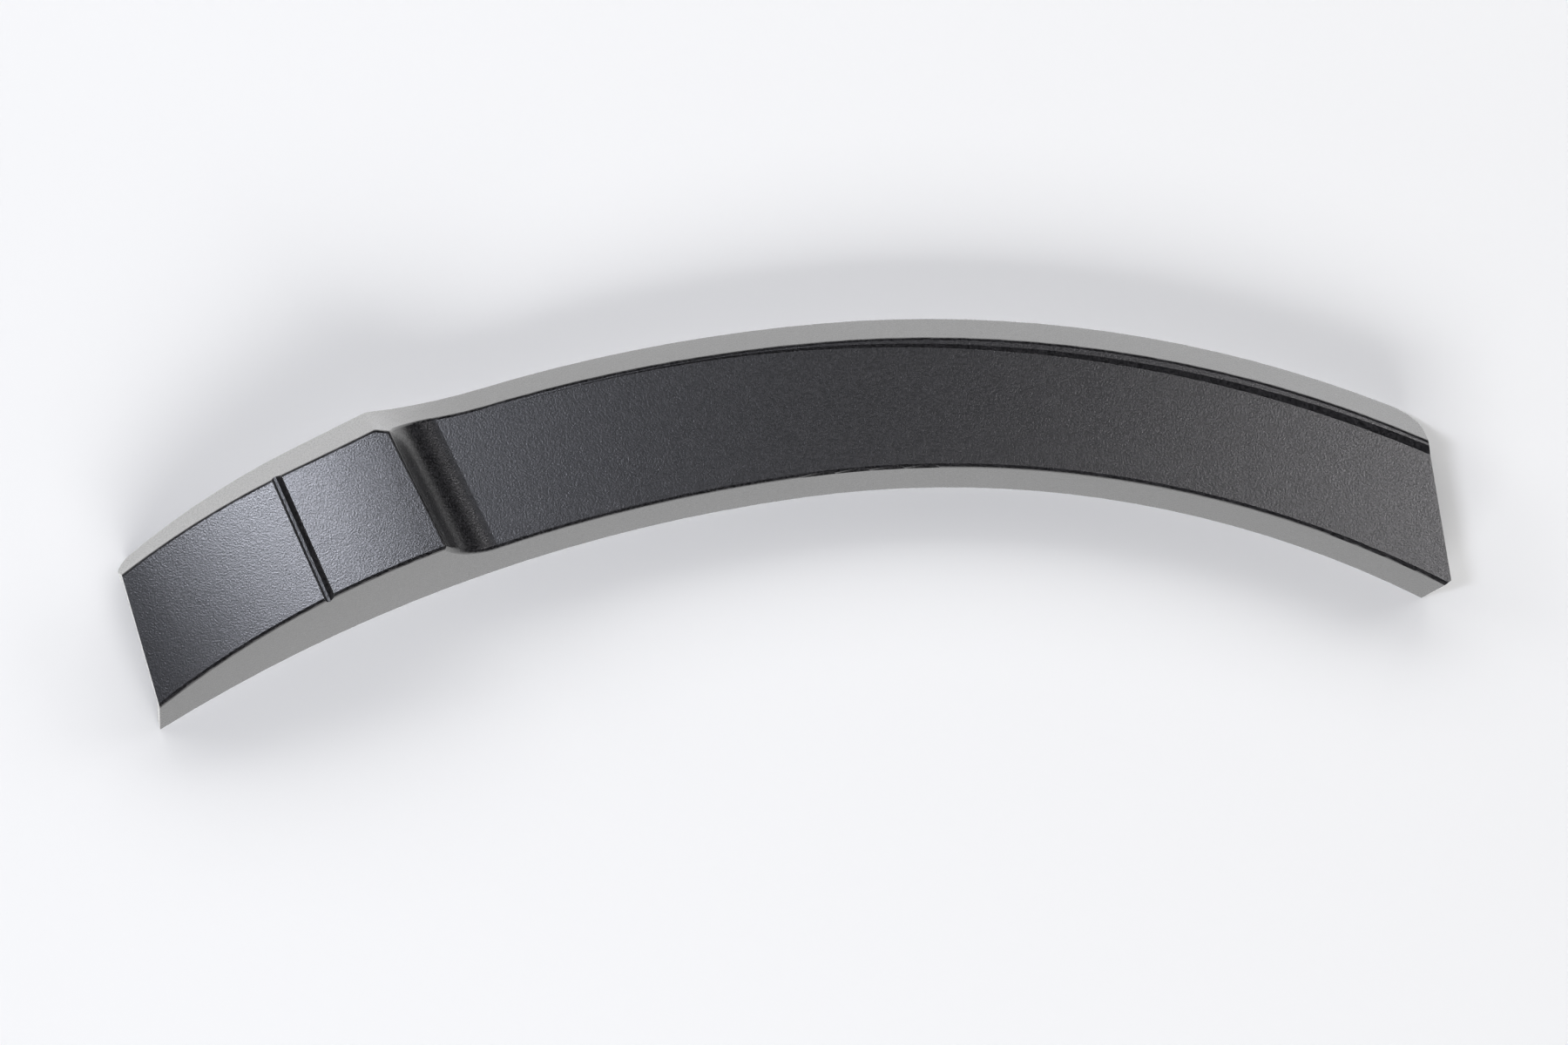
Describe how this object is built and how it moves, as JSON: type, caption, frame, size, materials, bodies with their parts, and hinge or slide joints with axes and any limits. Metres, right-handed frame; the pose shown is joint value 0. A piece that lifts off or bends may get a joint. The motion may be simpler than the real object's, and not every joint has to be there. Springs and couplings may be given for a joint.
{
  "type": "bumper molding",
  "caption": "Curved black plastic bumper molding with a raised two-panel end block, a lipped upper edge and drafted walls.",
  "frame": {"origin": "middle of the plan, in the plane of the back rim", "axes": "+X along the strip towards its plain end, +Y towards the lipped upper edge, +Z out of the visible face"},
  "size_m": [0.4556, 0.1414, 0.029],
  "materials": {
    "grained_plastic": "fine-grained satin black"
  },
  "bodies": {
    "root": {"bumper_molding": "grained_plastic"}
  },
  "joints": []
}
